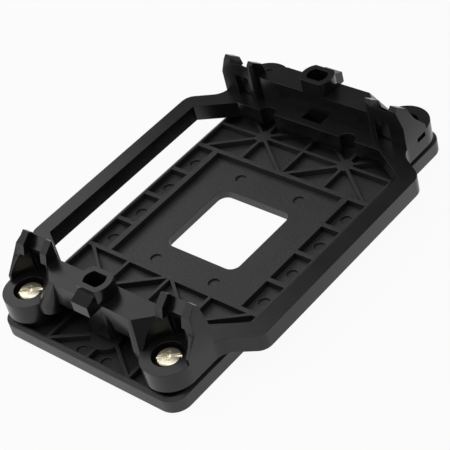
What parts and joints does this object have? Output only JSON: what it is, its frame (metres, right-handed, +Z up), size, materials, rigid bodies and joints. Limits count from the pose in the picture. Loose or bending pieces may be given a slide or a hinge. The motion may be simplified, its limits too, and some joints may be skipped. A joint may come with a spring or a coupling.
{
  "type": "cpu cooler retention frame",
  "caption": "Moulded retention frame with forked corner towers and clip hooks, screwed through the board to a ribbed backplate with a square window.",
  "frame": {"origin": "centre of the part's box, on the backplate's underside", "axes": "+Z up from the backplate to the frame, +Y along the long side from rail to rail"},
  "size_m": [0.0802, 0.1114, 0.0233],
  "materials": {
    "frame_plastic": "satin black moulded plastic",
    "plate_plastic": "fine-grained black moulded plastic",
    "screw_metal": "bright gold-coloured plating",
    "insert_metal": "turned brass"
  },
  "bodies": {
    "root": {"retention_frame": "frame_plastic", "backplate": "plate_plastic", "mounting_screws": "screw_metal", "threaded_inserts": "insert_metal"}
  },
  "joints": []
}
